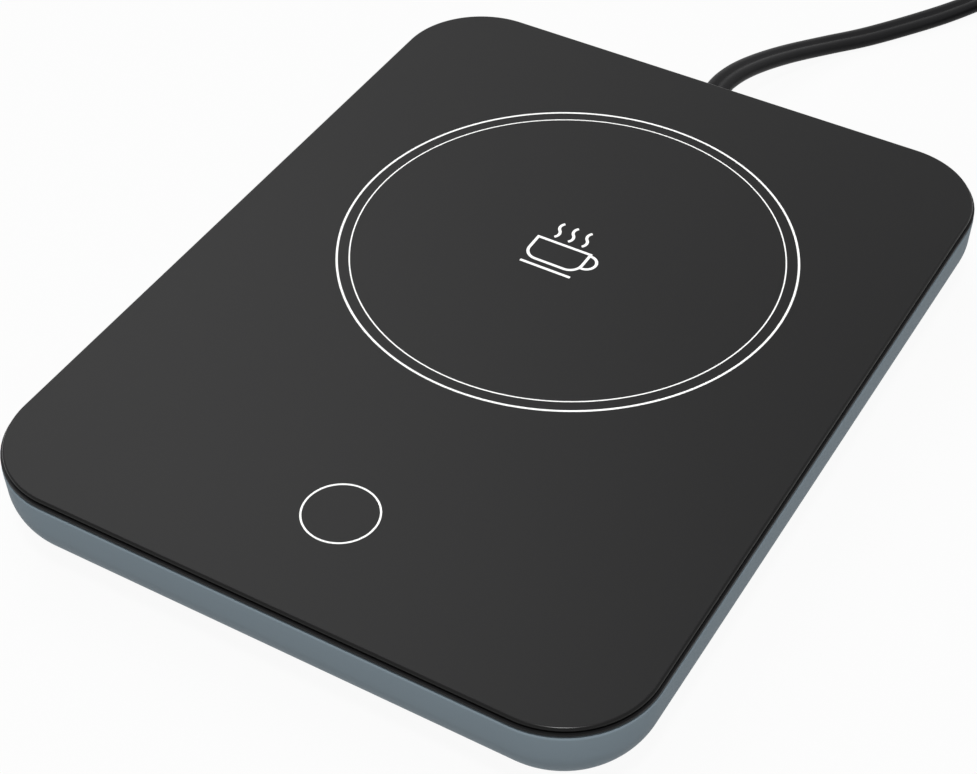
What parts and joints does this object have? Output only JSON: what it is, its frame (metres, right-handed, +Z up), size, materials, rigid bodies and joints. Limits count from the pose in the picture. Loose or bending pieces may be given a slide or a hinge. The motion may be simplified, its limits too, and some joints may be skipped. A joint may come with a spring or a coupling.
{
  "type": "mug warmer",
  "caption": "Flat electric mug warmer with a touch key, a glass top that sinks a little under a mug to switch it on, a moulded base and a flat two-core cord.",
  "frame": {"origin": "centre of the base at the level that the rubber feet stand on", "axes": "+X to the right along the front edge, +Y from the touch key at the front to the cord's exit at the back, +Z up"},
  "size_m": [0.1951, 0.3, 0.02],
  "materials": {
    "glass_top": "satin black back-painted glass with a fine rounded edge",
    "white_print": "thin white fired ink",
    "adhesive": "black silicone adhesive",
    "black_frame": "black glass-filled nylon, fine moulded texture",
    "spreader_metal": "bare rolled aluminium",
    "mica": "pressed mica sheet over etched foil",
    "insulation": "pressed ceramic fibre paper",
    "steel": "zinc plated steel",
    "fuse_metal": "tinned metal caps",
    "circuit_board": "green solder mask",
    "copper": "copper plated spring wire",
    "diffuser": "milky light guide",
    "lights": "clear moulded lamp bodies",
    "shell_plastic": "blue-grey moulded plastic, very fine satin texture",
    "foot_rubber": "soft black rubber",
    "spring_steel": "bright spring wire",
    "film_yellow": "yellow moulded case",
    "capacitor_sleeve": "dark blue shrink sleeve",
    "component_black": "black moulded epoxy",
    "connector_plastic": "natural nylon",
    "plunger_red": "red acetal",
    "wire_cover": "white wire insulation",
    "cord_jacket": "black cord jacket, semi-gloss",
    "tie_black": "black hook-and-loop tie",
    "plug_metal": "nickel plated brass"
  },
  "bodies": {
    "base": {"base_shell": "shell_plastic", "rubber_feet": "foot_rubber", "return_springs": "spring_steel", "main_board": "circuit_board", "film_capacitor": "film_yellow", "smoothing_capacitor": "capacitor_sleeve", "heater_triac": "component_black", "board_fuse": "fuse_metal", "control_chip": "component_black", "board_connectors": "connector_plastic", "board_screws": "steel", "weight_switch": "component_black", "supply_wires": "wire_cover", "heater_wires": "wire_cover", "sensor_wires": "wire_cover", "key_cable": "wire_cover", "inner_cord": "cord_jacket", "cord_clamp": "black_frame", "cord_clamp_screws": "steel", "strain_relief": "cord_jacket", "cord_lead": "cord_jacket", "cord_coil": "cord_jacket", "coil_tie": "tie_black", "cord_tail": "cord_jacket", "plug_body": "cord_jacket", "plug_blades": "plug_metal"},
    "top_plate": {"glass_plate": "glass_top", "ring_print": "white_print", "cup_mark": "white_print", "glass_adhesive": "adhesive", "top_frame": "black_frame", "heat_spreader": "spreader_metal", "heating_disc": "mica", "insulation_disc": "insulation", "heater_clamp": "steel", "clamp_screws": "steel", "heat_sensor": "spreader_metal", "thermal_fuse": "fuse_metal", "key_board": "circuit_board", "key_spring": "copper", "key_light_guide": "diffuser", "key_lights": "lights", "key_board_screws": "steel", "retaining_screws": "steel"},
    "switch_plunger": {"switch_plunger": "plunger_red"}
  },
  "joints": [
    {"name": "plate_press", "type": "slide", "parent": "base", "child": "top_plate", "axis": [0, 0, 1], "range_m": [-0.0004, 0], "stiffness_N_per_m": 1500, "springref_m": 0.003, "deforming": ["return_springs", "heater_wires", "sensor_wires", "key_cable"]},
    {"name": "switch_press", "type": "slide", "parent": "base", "child": "switch_plunger", "axis": [0, 0, 1], "range_m": [-0.0004, 0]}
  ],
  "couplings": [
    {"joint": "switch_press", "follows": "plate_press", "ratio": 1}
  ]
}
